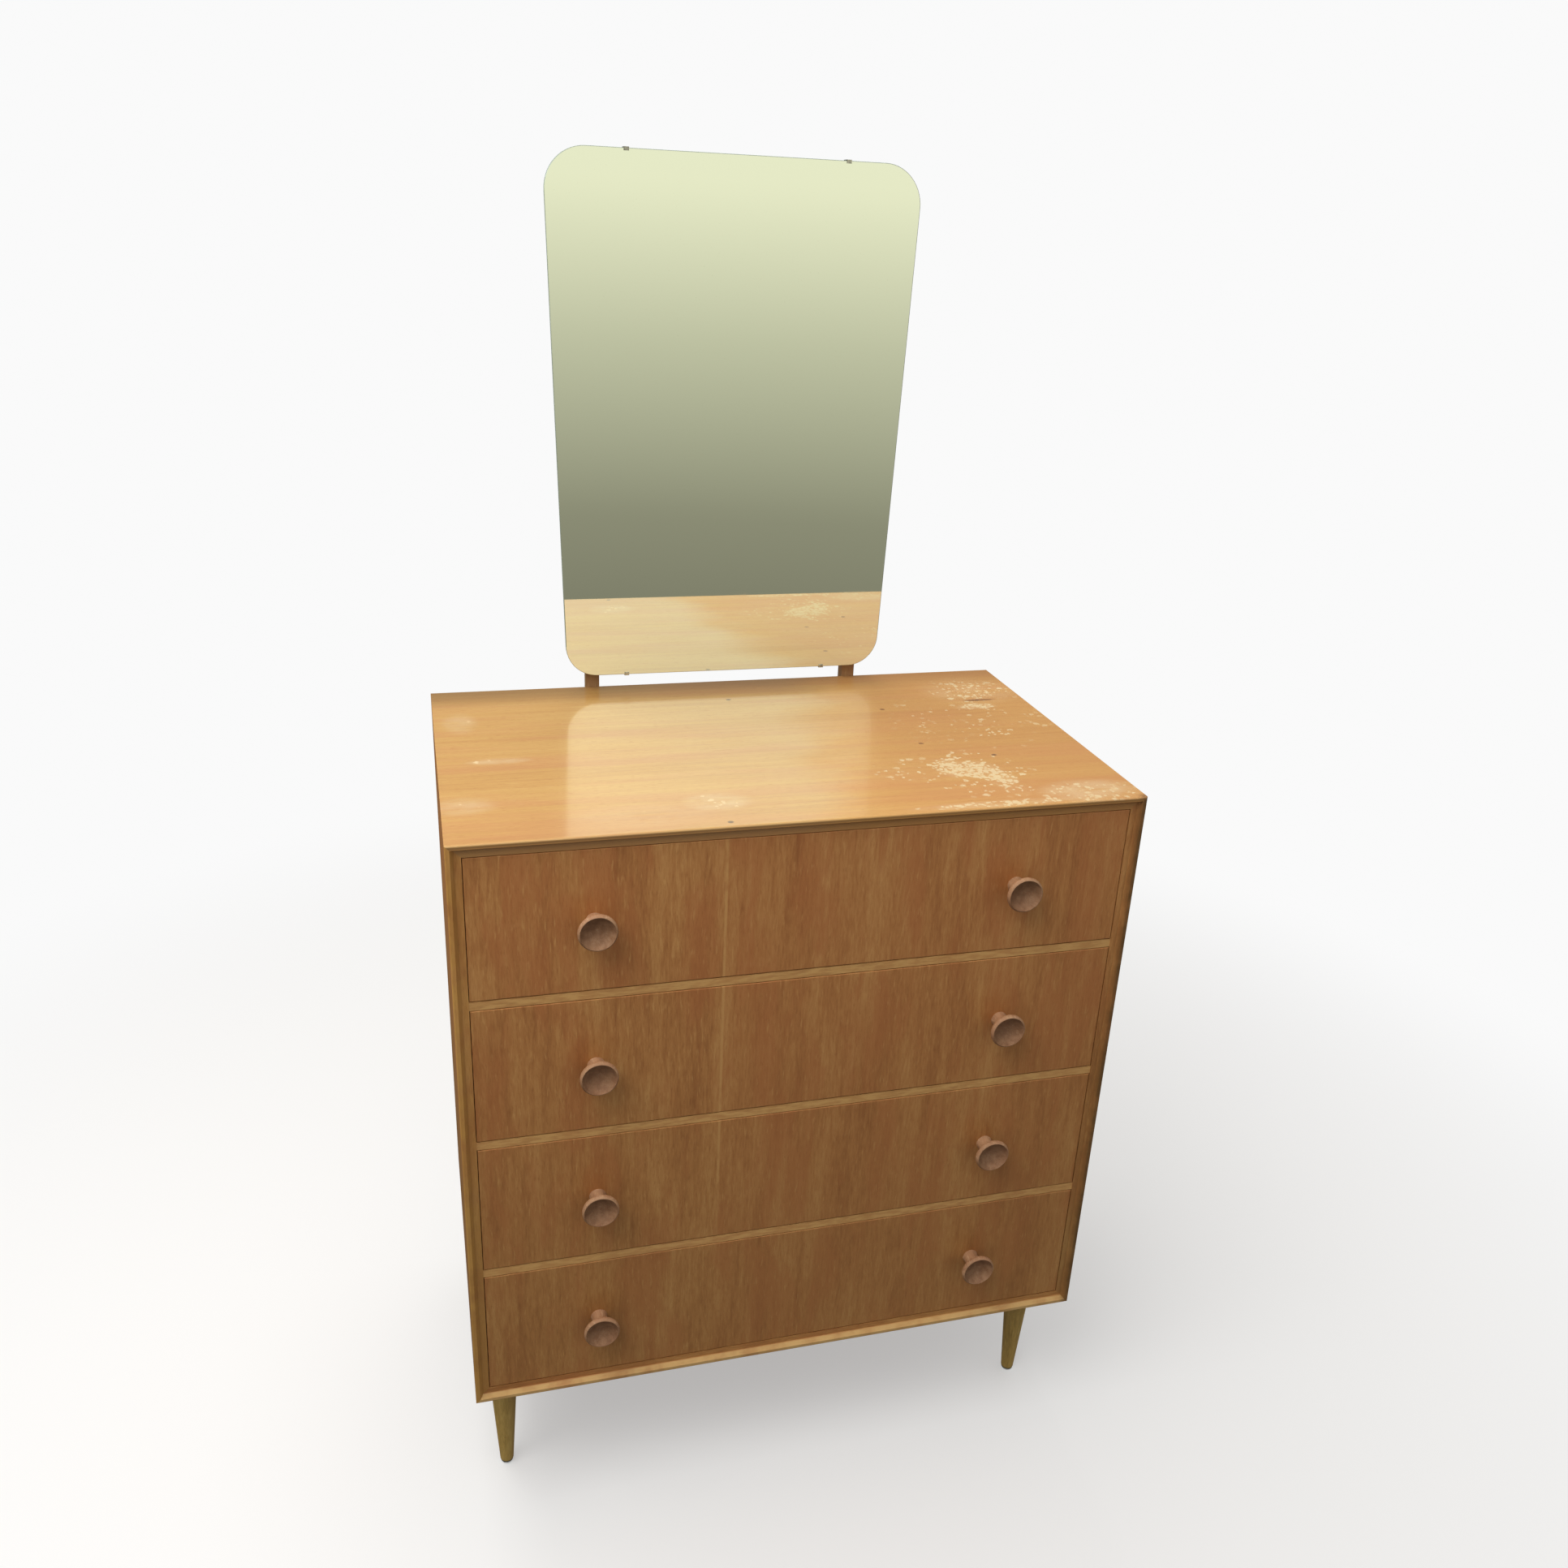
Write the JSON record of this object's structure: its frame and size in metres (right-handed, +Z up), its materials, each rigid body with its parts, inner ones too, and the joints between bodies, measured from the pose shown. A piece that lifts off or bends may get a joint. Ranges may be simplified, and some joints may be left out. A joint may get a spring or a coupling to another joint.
{
  "type": "dressing chest",
  "caption": "Low chest of full-width drawers with dished round knobs on tapered turned legs, with a frameless tilting mirror on two posts behind the top.",
  "frame": {"origin": "on the floor under the middle of the bounding box of the closed chest, mirror upright", "axes": "+X to the right seen from the front, +Y from the drawer fronts to the back, +Z up"},
  "size_m": [0.762, 0.5006, 1.5456],
  "materials": {
    "carcass_teak": "satin",
    "drawer_teak": "satin",
    "solid_teak": "satin",
    "knob_teak": "satin",
    "leg_beech": "satin",
    "inner_beech": "sanded",
    "plywood": "sanded",
    "hardboard": "rough",
    "mirror_silver": "polished",
    "steel": "zinc plated"
  },
  "bodies": {
    "carcass": {"top_panel": "carcass_teak", "bottom_panel": "carcass_teak", "left_side_panel": "carcass_teak", "right_side_panel": "carcass_teak", "back_panel": "hardboard", "front_rail_1": "solid_teak", "front_rail_2": "solid_teak", "front_rail_3": "solid_teak", "top_back_rail": "inner_beech", "low_back_rail": "inner_beech", "mitre_tongues": "plywood", "rail_dowels": "inner_beech", "back_panel_pins": "steel", "drawer_runners": "inner_beech", "runner_screws": "steel", "front_left_leg": "leg_beech", "front_right_leg": "leg_beech", "back_left_leg": "leg_beech", "back_right_leg": "leg_beech", "leg_bolts": "steel", "leg_inserts": "steel", "leg_glides": "steel", "left_mirror_post": "solid_teak", "right_mirror_post": "solid_teak", "post_screws": "steel", "pivot_screws": "steel"},
    "drawer_1": {"drawer_1_front": "drawer_teak", "drawer_1_left_side": "inner_beech", "drawer_1_right_side": "inner_beech", "drawer_1_back": "inner_beech", "drawer_1_bottom": "plywood", "drawer_1_knobs": "knob_teak", "drawer_1_knob_screws": "steel"},
    "drawer_2": {"drawer_2_front": "drawer_teak", "drawer_2_left_side": "inner_beech", "drawer_2_right_side": "inner_beech", "drawer_2_back": "inner_beech", "drawer_2_bottom": "plywood", "drawer_2_knobs": "knob_teak", "drawer_2_knob_screws": "steel"},
    "drawer_3": {"drawer_3_front": "drawer_teak", "drawer_3_left_side": "inner_beech", "drawer_3_right_side": "inner_beech", "drawer_3_back": "inner_beech", "drawer_3_bottom": "plywood", "drawer_3_knobs": "knob_teak", "drawer_3_knob_screws": "steel"},
    "drawer_4": {"drawer_4_front": "drawer_teak", "drawer_4_left_side": "inner_beech", "drawer_4_right_side": "inner_beech", "drawer_4_back": "inner_beech", "drawer_4_bottom": "plywood", "drawer_4_knobs": "knob_teak", "drawer_4_knob_screws": "steel"},
    "mirror": {"mirror_glass": "mirror_silver", "mirror_backing_board": "plywood", "mirror_clips": "steel", "pivot_brackets": "steel", "mirror_screws": "steel"}
  },
  "joints": [
    {"name": "drawer_1_slide", "type": "slide", "parent": "carcass", "child": "drawer_1", "axis": [0, -1, 0], "range_m": [0, 0.32]},
    {"name": "drawer_2_slide", "type": "slide", "parent": "carcass", "child": "drawer_2", "axis": [0, -1, 0], "range_m": [0, 0.32]},
    {"name": "drawer_3_slide", "type": "slide", "parent": "carcass", "child": "drawer_3", "axis": [0, -1, 0], "range_m": [0, 0.32]},
    {"name": "drawer_4_slide", "type": "slide", "parent": "carcass", "child": "drawer_4", "axis": [0, -1, 0], "range_m": [0, 0.32]},
    {"name": "mirror_tilt", "type": "hinge", "parent": "carcass", "child": "mirror", "pos_m": [0, 0.24175, 1.2485], "axis": [-1, 0, 0], "range_deg": [0, 25]}
  ]
}
